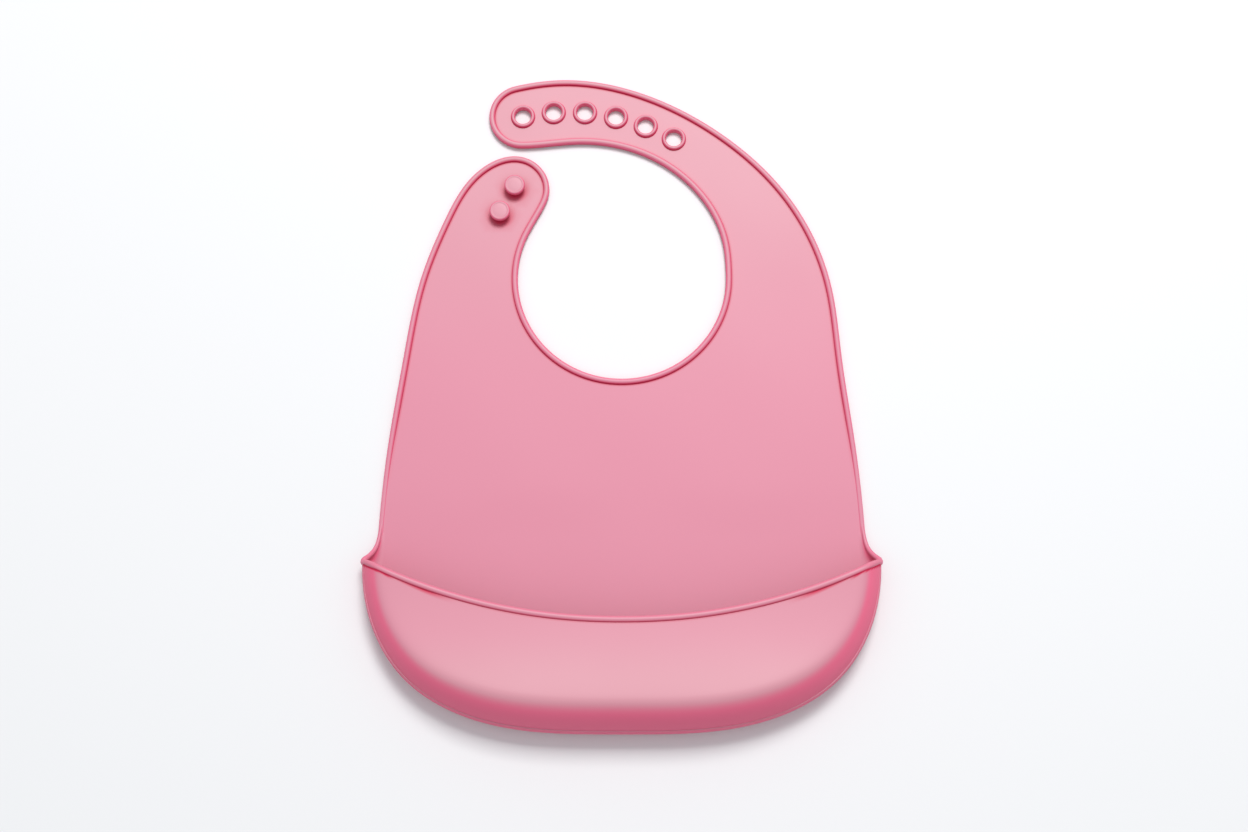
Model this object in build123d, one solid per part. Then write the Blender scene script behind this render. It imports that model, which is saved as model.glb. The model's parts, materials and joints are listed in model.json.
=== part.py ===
from build123d import *
import math
import os

# Silicone baby bib, lying flat on its back, face up.
# Millimetres. +Y runs from the catcher pocket up to the neck straps, +Z is up, away from the
# surface that the bib lies on. The origin is the centre of the bib's box, at its underside.
# The bib is one moulding. It is divided here at the lines where it flexes, and each moulded
# feature (panel, edge bead, pocket wall, eyelet ring, stud) is a solid of its own.

# ---- Driving dimensions ----
SHEET = 1.8                      # thickness of the apron and of the pocket wall
BEAD_WIDTH = 3.2                 # rounded bead along every edge
BEAD_HEIGHT = 3.2
BEAD_ROUND = 1.2
BEAD_LAP = 1.0                   # the sheet is drawn this far under the beads, then cut back to them

SIDE_HALF_WIDTH = 108.9          # half width of the apron where the pocket starts
SIDE_LEAN = 0.05                 # the sides start leaning in this much for each unit of height
POCKET_START = -66.0             # the apron ends and the pocket base starts here
APRON_FOLD = -25.0               # the apron folds over along this line

NECK_CENTRE = (0.0, 55.5)
NECK_RADIUS = 48.0
NECK_ARC_END = 160.0             # degrees round the neck, where the left strap's edge leaves it

HOLE_TIP_CENTRE = (-46.9, 134.3)  # round end of the long strap
HOLE_TIP_RADIUS = 15.5
HOLE_TIP_START = 104.0            # degrees round the tip, where the long strap's outer edge meets it
STUD_TIP_CENTRE = (-50.3, 98.0)   # round end of the short strap
STUD_TIP_RADIUS = 16.5
TIP_GAP = (-31.0, 116.7)          # corner of the gap that parts the two strap ends

# Points that the edge passes through between its round stretches.
RIGHT_SIDE = [(105.2, -21.0), (100.4, 18.0), (96.4, 52.0), (78.6, 93.3), (46.1, 126.1), (8.6, 146.1),
              (-29.3, 152.5)]
LONG_STRAP_INSIDE = [(-19.7, 120.8), (14.3, 113.0), (37.3, 93.3), (46.4, 73.8)]
SHORT_STRAP_INSIDE = [(-37.2, 87.6)]
LEFT_SIDE = [(-67.3, 107.0), (-82.1, 83.6), (-92.8, 54.5), (-99.8, 16.5), (-105.2, -20.7)]

# Angles about the neck centre, in degrees, of the lines along which the straps flex.
HOLE_STRAP_FLEX = [12.0, 38.0, 63.5, 97.2]
STUD_STRAP_FLEX = [172.0, 158.0]
HOLE_STRAP_END = 150.0
STUD_STRAP_END = 100.0

EYELETS = [(-46.5, 134.2), (-32.1, 136.2), (-17.4, 136.2), (-2.8, 133.9), (11.2, 129.5), (24.4, 123.2)]
EYELET_RADIUS = 3.8
RING_RADIUS = 5.75
RING_HEIGHT = 3.4
RING_ROUND = 0.8

STUDS = [(-49.8, 99.1), (-56.5, 86.5)]
STUD_FOOT_RADIUS = 3.6
STUD_FOOT_HEIGHT = 0.5
STUD_STEM_RADIUS = 2.75
STUD_STEM_HEIGHT = 2.4
STUD_HEAD_RADIUS = 5.0
STUD_HEAD_HEIGHT = 2.1
STUD_HEAD_ROUND = 0.7

POCKET_HALF_WIDTH = 114.6
POCKET_BOTTOM = -151.9
POCKET_SIDE = [(65.5, -145.3), (94.6, -128.5), (110.6, -102.5)]  # from the bottom up to the right ear
POCKET_HEIGHT = 29.0
POCKET_TOP_ROUND = 20.0
POCKET_LOW_ROUND = 8.0
POCKET_FLOOR_INSET = 10.0        # the flat floor belongs to the lower panel inside this margin
POCKET_OVERRUN = -40.0           # the pocket form is drawn up to here, then trimmed
FRONT_CREST = -131.0             # the front wall is highest here and falls towards the rim
FRONT_SLOPE = 10.0               # degrees
FRONT_HALF_WIDTH = 88.0          # the front wall flexes between these planes
FRONT_FLEX_LOW = 7.5             # top of the pocket base, where the front wall starts to flex
FRONT_FLEX_AXIS = (-151.9, 8.0)  # y and z of the axis that the front wall flexes about
FRONT_FLEX_SLOPE = 17.0          # degrees; the flexing web grows taller towards the corners
FRONT_FLEX_BACK = -125.0
EAR_Y = -77.0                    # the rim meets the side walls here, at the ears
EAR_RISE = (-66.0, 8.0)          # the side wall rises from this y at the floor to this height at the ear
RIM_CENTRE = -102.6              # the rim sags to here
RIM_SIDE = [(45.0, -98.3), (88.0, -86.3)]  # the rim's line from its middle to the right ear
RIM_END = (118.6, -76.5)         # the mouth is cut along that line to here, outside the ear
RIM_PROUD = 0.8                  # the rim bead stands this far out from both faces of the wall
RIDGE_HEIGHT = 0.6               # parting line round the pocket's widest contour
RIDGE_PROUD = 0.4
RIDGE_END = -84.0                # the parting line stops short of the ears

RIGHT, TOP, LEFT, FOOT = 0.0, 90.0, 180.0, 270.0  # directions round a circle, in degrees
FLUSH = 0.001                    # keeps two cuts at one height from leaving a film
SAME_LEVEL = 0.01                # edges this close in height lie in one plane
CLEAR = 1.0                      # cutting solids run this far past what they cut
SECTOR_STEPS = 4
SPLINE_STEP = 12.0               # spacing of the points that a parallel edge is drawn through
FEWEST_SPANS = 4
REACH = 400.0                    # longer than anything in the bib


# ---- Helpers ----
def prism(face, low, high):
    """The plan face, stood up between two heights."""
    return extrude(Pos(0, 0, low) * face, amount=high - low, dir=(0, 0, 1))


def block(low, high):
    """A box between two corners."""
    size = [b - a for a, b in zip(low, high)]
    middle = [(a + b) / 2 for a, b in zip(low, high)]
    return Pos(*middle) * Box(*size)


def polar(centre, radius, degrees):
    """The plan point at an angle and a distance from a centre."""
    angle = math.radians(degrees)
    return (centre[0] + radius * math.cos(angle), centre[1] + radius * math.sin(angle))


def sector(start, end):
    """The plan wedge between two angles about the neck centre."""
    step = (end - start) / SECTOR_STEPS
    far = [polar(NECK_CENTRE, REACH, start + step * i) for i in range(SECTOR_STEPS + 1)]
    return make_face(Polyline(NECK_CENTRE, *far, close=True))


def side_prism(points, half_width):
    """A prism along X whose section is given as points of y and z."""
    outline = Polyline(*[(-half_width, y, z) for y, z in points], close=True)
    return extrude(make_face(outline), amount=2 * half_width, dir=(1, 0, 0))


def parallel(curve, distance):
    """The plan curve drawn again at a distance to its left."""
    def beside(along):
        point = curve.position_at(along)
        ahead = curve.tangent_at(along)
        return (point.X - distance * ahead.Y, point.Y + distance * ahead.X)

    if curve.geom_type == GeomType.CIRCLE:
        return ThreePointArc(beside(0), beside(0.5), beside(1))
    count = max(FEWEST_SPANS, round(curve.length / SPLINE_STEP))
    ends = [(ahead.X, ahead.Y) for ahead in (curve.tangent_at(0), curve.tangent_at(1))]
    points = [beside(i / count) for i in range(count + 1)]
    return Spline(*points, tangents=ends, tangent_scalars=[1, 1])


def mirrored(points):
    """The same points on the left side, in the order that leads on from them."""
    return [(-x, y) for x, y in reversed(points)]


def save(shape, node):
    """Write one node's solids to its own file."""
    solids = shape.solids()
    export_step(solids[0] if len(solids) == 1 else Compound(children=solids), "parts/" + node + ".step")


# ---- Outline of the bib ----
def bib_edge():
    """The apron's and straps' edge: up the right side, over the straps and down the left."""
    tip_top = polar(HOLE_TIP_CENTRE, HOLE_TIP_RADIUS, HOLE_TIP_START)
    tip_left = polar(HOLE_TIP_CENTRE, HOLE_TIP_RADIUS, LEFT)
    tip_foot = polar(HOLE_TIP_CENTRE, HOLE_TIP_RADIUS, FOOT)
    neck_right = polar(NECK_CENTRE, NECK_RADIUS, RIGHT)
    neck_foot = polar(NECK_CENTRE, NECK_RADIUS, FOOT)
    neck_left = polar(NECK_CENTRE, NECK_RADIUS, NECK_ARC_END)
    stud_right = polar(STUD_TIP_CENTRE, STUD_TIP_RADIUS, RIGHT)
    stud_middle = polar(STUD_TIP_CENTRE, STUD_TIP_RADIUS, (RIGHT + TOP) / 2)
    stud_top = polar(STUD_TIP_CENTRE, STUD_TIP_RADIUS, TOP)
    onto_tip = polar((0, 0), 1, HOLE_TIP_START + TOP)
    off_neck = polar((0, 0), 1, NECK_ARC_END - TOP)
    right_edge = Spline(
        (SIDE_HALF_WIDTH, POCKET_START), *RIGHT_SIDE, tip_top,
        tangents=[(-SIDE_LEAN, 1), onto_tip],
        tangent_scalars=[1, 1],
    )
    hole_tip = ThreePointArc(tip_top, tip_left, tip_foot)
    long_strap_inside = Spline(
        tip_foot, *LONG_STRAP_INSIDE, neck_right, tangents=[(1, 0), (0, -1)], tangent_scalars=[1, 1]
    )
    neck = ThreePointArc(neck_right, neck_foot, neck_left)
    short_strap_inside = Spline(
        neck_left, *SHORT_STRAP_INSIDE, stud_right, tangents=[off_neck, (0, 1)], tangent_scalars=[1, 1]
    )
    stud_tip = ThreePointArc(stud_right, stud_middle, stud_top)
    left_edge = Spline(
        stud_top, *LEFT_SIDE, (-SIDE_HALF_WIDTH, POCKET_START),
        tangents=[(-1, 0), (-SIDE_LEAN, -1)],
        tangent_scalars=[1, 1],
    )
    return [right_edge, hole_tip, long_strap_inside, neck, short_strap_inside, stud_tip, left_edge]


def sheet_plan():
    """The plan of the flat sheet, which runs a little way under the beads."""
    inside = [parallel(curve.edge(), BEAD_WIDTH - BEAD_LAP) for curve in bib_edge()]
    low = POCKET_START - POCKET_FLOOR_INSET
    start, end = inside[0] @ 0, inside[-1] @ 1
    foot = Polyline(end, (end.X, low), (start.X, low), start)
    return make_face(Curve() + inside + foot)


def edge_bead():
    """The rounded bead, drawn along the whole edge."""
    path = Wire([curve.edge() for curve in bib_edge()])
    start = path.position_at(0)
    ahead = path.tangent_at(0)
    section = Pos(BEAD_WIDTH / 2, BEAD_HEIGHT / 2) * Rectangle(BEAD_WIDTH, BEAD_HEIGHT)
    section = fillet(section.vertices().sort_by(Axis.Y)[-2:], BEAD_ROUND)
    across = Plane(origin=start, x_dir=Vector(-ahead.Y, ahead.X, 0), z_dir=ahead)
    return sweep(across * section, path=path)


# ---- Pocket form ----
def pocket_footprint(grow):
    """The pocket's widest contour, swollen by grow and open-ended towards the apron."""
    right = POCKET_SIDE + [(POCKET_HALF_WIDTH, EAR_Y)]
    contour = Spline(
        *mirrored(right), (0, POCKET_BOTTOM), *right, tangents=[(0, -1), (0, 1)], tangent_scalars=[1, 1]
    )
    contour = parallel(contour.edge(), -grow)
    width = POCKET_HALF_WIDTH + grow
    end = Polyline((width, EAR_Y), (width, POCKET_OVERRUN), (-width, POCKET_OVERRUN), (-width, EAR_Y))
    return make_face(Curve() + contour + end)


def pocket_form(grow):
    """The pocket as a full block, swollen by grow on every side."""
    def closed_edges(form, level):
        edges = form.edges().filter_by(lambda e: abs(e.center().Z - level) < SAME_LEVEL)
        return edges.filter_by(lambda e: e.center().Y < POCKET_OVERRUN - CLEAR)

    low = -grow
    high = POCKET_HEIGHT + grow
    form = prism(pocket_footprint(grow), low, high)
    form = fillet(closed_edges(form, high), POCKET_TOP_ROUND + grow)
    form = fillet(closed_edges(form, low), POCKET_LOW_ROUND + grow)
    slope = math.radians(FRONT_SLOPE)
    fall = math.tan(slope) * REACH
    crest = high + grow * (1 / math.cos(slope) - 1)
    above = side_prism(
        [(FRONT_CREST, crest), (FRONT_CREST + REACH, crest - fall), (FRONT_CREST + REACH, REACH),
         (FRONT_CREST, REACH)],
        REACH,
    )
    return form - above


def mouth(back):
    """Everything above the pocket's mouth, moved back towards the pocket's bottom by back."""
    right = RIM_SIDE + [RIM_END]
    rim = Spline(*mirrored(right), (0, RIM_CENTRE), *right)
    end_x, end_y = RIM_END
    rest = Polyline((end_x, end_y), (end_x, REACH), (-end_x, REACH), (-end_x, end_y))
    plan = prism(make_face(rim + rest), -REACH, REACH)
    rise_y, rise_z = EAR_RISE
    below = side_prism(
        [(-REACH, rise_z), (EAR_Y, rise_z), (rise_y, 0), (REACH, 0), (REACH, -REACH), (-REACH, -REACH)],
        REACH,
    )
    return Pos(0, -back, 0) * (plan - below)


# ---- Small features ----
def eyelet_ring(centre):
    ring = prism(Circle(RING_RADIUS) - Circle(EYELET_RADIUS), 0, RING_HEIGHT)
    ring = fillet(ring.edges().group_by(Axis.Z)[-1], RING_ROUND)
    return Pos(*centre, 0) * ring


def stud(centre):
    foot = Pos(0, 0, SHEET) * prism(Circle(STUD_FOOT_RADIUS), 0, STUD_FOOT_HEIGHT)
    stem_top = SHEET + STUD_FOOT_HEIGHT + STUD_STEM_HEIGHT
    stem = prism(Circle(STUD_STEM_RADIUS), SHEET, stem_top)
    head = prism(Circle(STUD_HEAD_RADIUS), stem_top, stem_top + STUD_HEAD_HEIGHT)
    head = fillet(head.edges().filter_by(GeomType.CIRCLE), STUD_HEAD_ROUND)
    return Pos(*centre, 0) * (foot + stem + head)


# ---- The bib, divided at its flex lines ----
def flat_regions():
    """The plan region of each rigid stretch of the apron and straps."""
    gap_x, gap_y = TIP_GAP
    short_strap_side = make_face(
        Polyline((gap_x, 0), (gap_x, gap_y), (-REACH, gap_y), (-REACH, 0), close=True)
    )
    regions = {}
    ends = HOLE_STRAP_FLEX[1:] + [HOLE_STRAP_END]
    for number, (start, end) in enumerate(zip(HOLE_STRAP_FLEX, ends), 1):
        regions[f"hole_strap_{number}"] = sector(start, end) - short_strap_side
    ends = STUD_STRAP_FLEX[1:] + [STUD_STRAP_END]
    for number, (start, end) in enumerate(zip(STUD_STRAP_FLEX, ends), 1):
        regions[f"stud_strap_{number}"] = sector(end, start) & short_strap_side
    straps = sector(HOLE_STRAP_FLEX[0], STUD_STRAP_FLEX[0])
    upper = make_face(
        Polyline((REACH, APRON_FOLD), (REACH, REACH), (-REACH, REACH), (-REACH, APRON_FOLD), close=True)
    )
    regions["upper"] = upper - straps
    regions["lower"] = make_face(
        Polyline((REACH, POCKET_START), (REACH, APRON_FOLD), (-REACH, APRON_FOLD), (-REACH, POCKET_START),
                 close=True)
    )
    return regions


def flat_nodes():
    """Panels and beads of the apron and straps."""
    holes = [Pos(*centre) * Circle(RING_RADIUS) for centre in EYELETS]
    bead = edge_bead()
    sheet = prism(sheet_plan() - holes, 0, SHEET) - bead
    nodes = {}
    for name, region in flat_regions().items():
        column = prism(region, -CLEAR, BEAD_HEIGHT + CLEAR)
        panel = sheet & column
        beads = (bead & column).solids().sort_by(Axis.X)
        if name == "upper":
            nodes["upper_panel"] = panel
            nodes["upper_bead_left"], nodes["neck_bead"], nodes["upper_bead_right"] = beads
        elif name == "lower":
            nodes["lower_panel"] = panel
            nodes["lower_bead_left"], nodes["lower_bead_right"] = beads
        else:
            nodes[name + "_panel"] = panel
            nodes[name + "_bead"] = Compound(children=beads)
    return nodes


def pocket_nodes(lower_sheet):
    """The catcher pocket: floor, base, side walls, flexing web, front wall, rim and ears."""
    behind = block((-REACH, -REACH, 0), (REACH, POCKET_START, REACH))
    middle = block((-FRONT_HALF_WIDTH, -REACH, -REACH), (FRONT_HALF_WIDTH, REACH, REACH))
    low = block((-REACH, -REACH, -REACH), (REACH, REACH, FRONT_FLEX_LOW))
    flat_plan = pocket_footprint(-POCKET_FLOOR_INSET)
    mouth_edge = mouth(0)
    wall_edge = mouth(BEAD_WIDTH)
    outside = pocket_form(0)

    wall = (outside - pocket_form(-SHEET)) & behind
    wall = wall - prism(flat_plan, -CLEAR, SHEET + FLUSH) - wall_edge
    base = wall & low
    above = wall - low
    axis_y, axis_z = FRONT_FLEX_AXIS
    rise = math.tan(math.radians(FRONT_FLEX_SLOPE))
    clear = axis_z - FRONT_FLEX_LOW
    front_y = axis_y - 2 * SHEET
    flexing = side_prism(
        [(front_y, FRONT_FLEX_LOW), (FRONT_FLEX_BACK, FRONT_FLEX_LOW),
         (FRONT_FLEX_BACK, axis_z + clear + rise * (FRONT_FLEX_BACK - axis_y)), (front_y, axis_z)],
        FRONT_HALF_WIDTH,
    )
    sides = (above - middle).solids().sort_by(Axis.X)

    thick = (pocket_form(RIM_PROUD) - pocket_form(-SHEET - RIM_PROUD)) & behind
    rim = (thick & wall_edge) - mouth_edge - prism(flat_plan, -CLEAR, SHEET + RIM_PROUD + FLUSH)
    ears = (rim - middle).solids().sort_by(Axis.X)

    ridge = prism(pocket_footprint(RIDGE_PROUD), FRONT_FLEX_LOW - RIDGE_HEIGHT, FRONT_FLEX_LOW)
    ridge = (ridge - outside) & block((-REACH, -REACH, 0), (REACH, RIDGE_END, REACH))
    return {
        "lower_panel": lower_sheet + (prism(flat_plan, 0, SHEET) & behind),
        "pocket_base": base,
        "pocket_side_left": sides[0],
        "pocket_side_right": sides[-1],
        "pocket_flex_web": above & flexing,
        "pocket_front_wall": (above & middle) - flexing,
        "pocket_rim": rim & middle,
        "pocket_ear_left": ears[0],
        "pocket_ear_right": ears[-1],
        "parting_ridge": ridge,
    }


os.makedirs("parts", exist_ok=True)
nodes = flat_nodes()
nodes.update(pocket_nodes(nodes["lower_panel"]))
for number, centre in enumerate(EYELETS, 1):
    nodes[f"eyelet_ring_{number}"] = eyelet_ring(centre)
for number, centre in enumerate(STUDS, 1):
    nodes[f"stud_{number}"] = stud(centre)
for node, shape in nodes.items():
    save(shape, node)
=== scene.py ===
"""A pink silicone baby bib lying face up on a pale table."""

import json
import math

import bmesh
import bpy
import numpy as np
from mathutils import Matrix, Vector
from mathutils.bvhtree import BVHTree
from mathutils.geometry import delaunay_2d_cdt


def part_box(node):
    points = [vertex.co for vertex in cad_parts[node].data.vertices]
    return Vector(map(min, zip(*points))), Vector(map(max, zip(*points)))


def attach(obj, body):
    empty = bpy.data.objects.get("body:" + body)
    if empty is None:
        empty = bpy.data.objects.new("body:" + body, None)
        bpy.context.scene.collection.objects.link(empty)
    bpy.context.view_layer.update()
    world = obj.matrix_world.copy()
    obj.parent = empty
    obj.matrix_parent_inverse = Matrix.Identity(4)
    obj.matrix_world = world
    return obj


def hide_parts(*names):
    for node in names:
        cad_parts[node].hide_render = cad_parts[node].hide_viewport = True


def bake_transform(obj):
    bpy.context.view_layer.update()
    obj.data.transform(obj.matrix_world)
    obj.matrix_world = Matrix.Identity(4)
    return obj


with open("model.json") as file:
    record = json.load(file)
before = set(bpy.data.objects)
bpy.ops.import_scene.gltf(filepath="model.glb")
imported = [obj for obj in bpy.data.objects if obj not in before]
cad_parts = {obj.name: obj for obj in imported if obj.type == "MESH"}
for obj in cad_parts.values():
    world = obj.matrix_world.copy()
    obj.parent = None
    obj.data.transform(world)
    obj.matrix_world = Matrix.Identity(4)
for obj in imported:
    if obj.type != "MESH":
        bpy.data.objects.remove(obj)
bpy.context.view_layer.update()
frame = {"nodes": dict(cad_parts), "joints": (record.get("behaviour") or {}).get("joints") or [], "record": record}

# Lengths below are in millimetres; meshes are written in metres.
MM = 0.001

# ---- Sheet and bead ----
SHEET = 1.8                  # thickness of the flat sheet between the beads
BEAD_CREST = 1.36            # distance in from the edge where the bead is highest
# Section of the edge bead: distance in from the edge, height, and how deep the painted shade is in its crease and
# on its flanks.
BEAD_SECTION = [
    (3.7, 0.0, 0.0), (1.6, 0.0, 0.0), (0.55, 0.0, 0.5), (0.16, 0.16, 0.6), (0.0, 0.6, 0.55),
    (0.0, 1.2, 0.45), (0.0, 1.8, 0.3), (0.1, 2.35, 0.0), (0.4, 2.86, 0.0), (0.86, 3.12, 0.0),
    (BEAD_CREST, 3.2, 0.0), (1.9, 3.12, 0.1), (2.34, 2.88, 0.4), (2.6, 2.5, 0.8), (2.7, 2.15, 1.0),
    (2.8, SHEET, 1.0), (3.1, SHEET, 0.55), (3.7, SHEET, 0.0),
]
# The bead softens down the apron's sides, between these two distances in front of the origin.
SOFT_START = 0.0
SOFT_END = 50.0
SOFT_HEIGHT = 0.75           # share of its height, width and painted shade that the bead loses there
SOFT_WIDTH = 0.28
SOFT_COLOUR = 1.0
EDGE_STEP = 1.3              # spacing of the points along an edge
CONTOUR_STEP = 0.5           # and along the pocket's widest contour
GRID_STEP = 3.4              # spacing of the points in the middle of the sheet
GRID_ROW_STEP = GRID_STEP * 0.866
GRID_CLEAR = 1.9             # the grid keeps this far from the edge
JOIN = 0.05                  # two CAD corners this close are one corner
PROBE = 0.4                  # a side face is outside where nothing lies this far beyond it
AT_LEVEL = 0.01              # a CAD edge this close to a height is at that height
FLAT_FACE = 0.9              # a face whose normal's Z is more than this is flat,
SIDE_FACE = 0.5              # and one where it is less than this is a side
SHARP = math.radians(55)     # faces that meet at more than this keep a crisp edge

# ---- Pocket ----
PARTING = 8.0                # height of the pocket's widest contour
LOW_ROUND = 8.0              # the wall curves in this far under the parting line
TOP_ROUND = 14.5             # and this far over the top, at the bottom of the pocket
SIDE_ROUND = 6.0             # and this much further at the sides
SIDE_POWER = 1.5             # a higher power keeps the wider round nearer to the ears
ROUND_POWER = 1.6            # 2 is an ellipse; less is flatter than one
TOP_RISE = 21.0              # height of the wall over the parting line, before the front falls away
CREST_Y = -138.0             # the front wall is highest here
FRONT_FALL = 0.24            # slope towards the rim at the crest
FRONT_EASE = 0.0022          # and how fast it eases off from there
CREST_SOFTNESS = 0.8         # how gently the round side turns into the sloping front
WALL = 1.8                   # thickness of the pocket's wall
EAR_Y = -77.0                # the rim meets the side walls here
CONTOUR_END_Y = EAR_Y - 4    # the CAD contour is read up to here, and runs straight on to the ear
POCKET_MIDDLE_Y = -70.0      # side faces that point away from here are on the pocket's outside
APRON_END = -66.0            # the flat sheet's edge beads end here
# The bead's line from the ear back to the apron's edge: distance behind the ear, share of the way
# out, and height.
EAR_LINE = [
    (-0.6, 1.0, 8.8), (0.7, 1.0, 8.4), (1.7, 0.86, 7.5), (3.0, 0.64, 6.1), (4.7, 0.42, 4.7), (6.8, 0.23, 3.4),
    (9.5, 0.09, 2.6), (12.5, 0.0, 2.1), (16.0, -0.07, 1.6), (20.0, -0.14, 1.1),
]
EAR_INSET = 0.6              # the bead's centre at the ear lies this far inside the pocket's side
EAR_KNOB = 0.25              # and the bead is this much thicker right at the ear,
KNOB_CORE = 0.5              # all of it this near to the ear
KNOB_END = 3.5               # and none of it this far away
RIM_SAG_POWER = 2.1          # shape of the rim's curve in plan; 2 is a parabola
RIM_RADIUS = 1.45            # the bead's radius along the rim, at the ears and at the apron's edge
EAR_RADIUS = 1.15
BEAD_END_RADIUS = 0.8
RADIUS_RUNS = (4, 22, 40)    # distances along the bead where its radius leaves one value and reaches the next
RIM_SUNK = 0.25              # in the middle, the bead's centre lies this far under the wall's outside
RIM_SUNK_RUN = 25            # at the ear it lies in the middle of the wall, and eases over this distance
RIM_STEP = 0.8               # spacing of the points along the bead
# Distances in from the ear of the points that set the bead's line: close together at the corner.
RIM_CORNER = [0.6, 1.3, 2.2, 3.4, 5.0, 7.4, 10.8, 15.0]
RIM_REST_START = 20
RIM_REST_COUNT = 24
RIM_SHADE = (1.6, 2.1)       # painted shade on the wall under the bead deepens from the second distance to the first
RIDGE_INSET = 1.3            # the parting line runs this far in from the widest contour
RIDGE_RADIUS = 0.4
RIDGE_THIN = 0.3             # share of its radius that is left at its ends
RIDGE_TAPER = 12             # points over which it grows to its full radius
RIDGE_END_Y = EAR_Y - 5
POCKET_COLUMNS = 170
WALL_ROWS = 34
LOW_ROWS = 9
FOOT_RUN_ON = 4              # the wall's foot reaches the apron's bead this far behind the pocket
TUBE_PLAIN = 0.6             # how pale the flanks of the small round bars stay against the painted flank shade


# ---------------------------------------------------------------- reading the CAD
def cad_mesh(name):
    """A CAD node's mesh in millimetres, with its corners joined up."""
    bm = bmesh.new()
    bm.from_mesh(frame["nodes"][name].data)
    bmesh.ops.scale(bm, vec=(1 / MM, 1 / MM, 1 / MM), verts=bm.verts)
    bmesh.ops.remove_doubles(bm, verts=bm.verts, dist=0.001)
    bm.normal_update()
    return bm


def level_edges(name, level, keep):
    """Edges of a CAD node at one height that border a side face, and pass a test."""
    bm = cad_mesh(name)
    found = []
    for edge in bm.edges:
        a, b = (v.co for v in edge.verts)
        if max(abs(a.z - level), abs(b.z - level)) > AT_LEVEL or len(edge.link_faces) != 2:
            continue
        flat = [f.normal for f in edge.link_faces if abs(f.normal.z) > FLAT_FACE]
        side = [f.normal for f in edge.link_faces if abs(f.normal.z) < SIDE_FACE]
        if flat and side and keep((a + b) / 2, side[0]):
            found.append(((a.x, a.y), (b.x, b.y)))
    bm.free()
    return found


def chain(edges, start):
    """Edges in any order, as one line of points that begins nearest to start."""
    ends = np.array(edges)
    used = np.zeros(len(ends), bool)
    flat = np.linalg.norm(ends - np.array(start), axis=2)
    first, side = np.unravel_index(np.argmin(flat), flat.shape)
    line = [ends[first, side], ends[first, 1 - side]]
    used[first] = True
    while True:
        gap = np.linalg.norm(ends - line[-1], axis=2)
        gap[used] = np.inf
        index, side = np.unravel_index(np.argmin(gap), gap.shape)
        if gap[index, side] > JOIN:
            return np.array(line)
        used[index] = True
        line.append(ends[index, 1 - side])


def resample(line, step):
    """The line's points again, evenly spaced."""
    run = np.concatenate([[0], np.cumsum(np.linalg.norm(np.diff(line, axis=0), axis=1))])
    count = max(2, round(run[-1] / step))
    at = np.linspace(0, run[-1], count + 1)
    return np.column_stack([np.interp(at, run, line[:, k]) for k in range(line.shape[1])])


def inward(line):
    """Unit vectors to the left of a plan line, smoothed along it."""
    ahead = np.gradient(line, axis=0)
    left = np.column_stack([-ahead[:, 1], ahead[:, 0]])
    kernel = np.array([1, 4, 6, 4, 1]) / 16
    padded = np.pad(left, ((2, 2), (0, 0)), mode="edge")
    left = np.column_stack([np.convolve(padded[:, k], kernel, "valid") for k in range(2)])
    return left / np.linalg.norm(left, axis=1)[:, None]


def bib_edge():
    """The outside edge of the apron and straps, from the pocket's right corner to its left."""
    flats = [n for n in frame["nodes"] if n.endswith(("panel", "bead", "_left", "_right", "pocket_base"))]
    everything = bmesh.new()
    for name in flats:
        everything.from_mesh(frame["nodes"][name].data)
    tree = BVHTree.FromBMesh(everything)
    everything.free()

    def open_outside(middle, normal):
        above = Vector(((middle.x + PROBE * normal.x) * MM, (middle.y + PROBE * normal.y) * MM, 1.0))
        return middle.y > APRON_END - JOIN and tree.ray_cast(above, Vector((0, 0, -1)))[0] is None

    edges = []
    for name in flats:
        if "bead" in name:
            edges += level_edges(name, 0.0, open_outside)
    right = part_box("lower_bead_right")[1].x / MM
    return resample(chain(edges, (right, APRON_END)), EDGE_STEP)


def pocket_edge():
    """The pocket's widest contour, from its left ear round the bottom to its right ear."""
    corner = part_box("pocket_base")[1]
    half, level = corner.x / MM, corner.z / MM

    def outside(middle, normal):
        spoke_y = middle.y - POCKET_MIDDLE_Y
        return middle.x * normal.x + spoke_y * normal.y > 0 and middle.y < CONTOUR_END_Y

    line = chain(level_edges("pocket_base", level, outside), (-half, EAR_Y))
    return resample(np.vstack([[-half, EAR_Y], line, [half, EAR_Y]]), CONTOUR_STEP)


# ---------------------------------------------------------------- mesh helpers
def grid_faces(rows, columns, offset=0, flip=False):
    """Quads of a grid of points stored row by row."""
    faces = []
    for r in range(rows - 1):
        for c in range(columns - 1):
            quad = [offset + r * columns + c, offset + r * columns + c + 1,
                    offset + (r + 1) * columns + c + 1, offset + (r + 1) * columns + c]
            faces.append(quad[::-1] if flip else quad)
    return faces


def ease(value, low, high):
    """0 at low, 1 at high, and smooth between."""
    share = np.clip((value - low) / (high - low), 0, 1)
    return share * share * (3 - 2 * share)


# A painted sheen pales the silicone on the straps and on the crest of the pocket's front. It grows between two
# values of Y along the straps, of distance down the front, and of height up the front.
STRAP_PALE = (-10, 140)
FRONT_PALE = (105, 132)
FRONT_PALE_LEAST = 0.45      # share of the painted sheen that the front has at its rim
FRONT_PALE_FADE = (138, 150)
PALE_HEIGHT = (9, 22)


def painted_sheen_share(points):
    """How much painted sheen, a paler highlight, each point has."""
    down = -points[:, 1]
    front = FRONT_PALE_LEAST + (1 - FRONT_PALE_LEAST) * ease(down, *FRONT_PALE)
    front *= 1 - ease(down, *FRONT_PALE_FADE)
    return ease(points[:, 1], *STRAP_PALE) + front * ease(points[:, 2], *PALE_HEIGHT)


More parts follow.
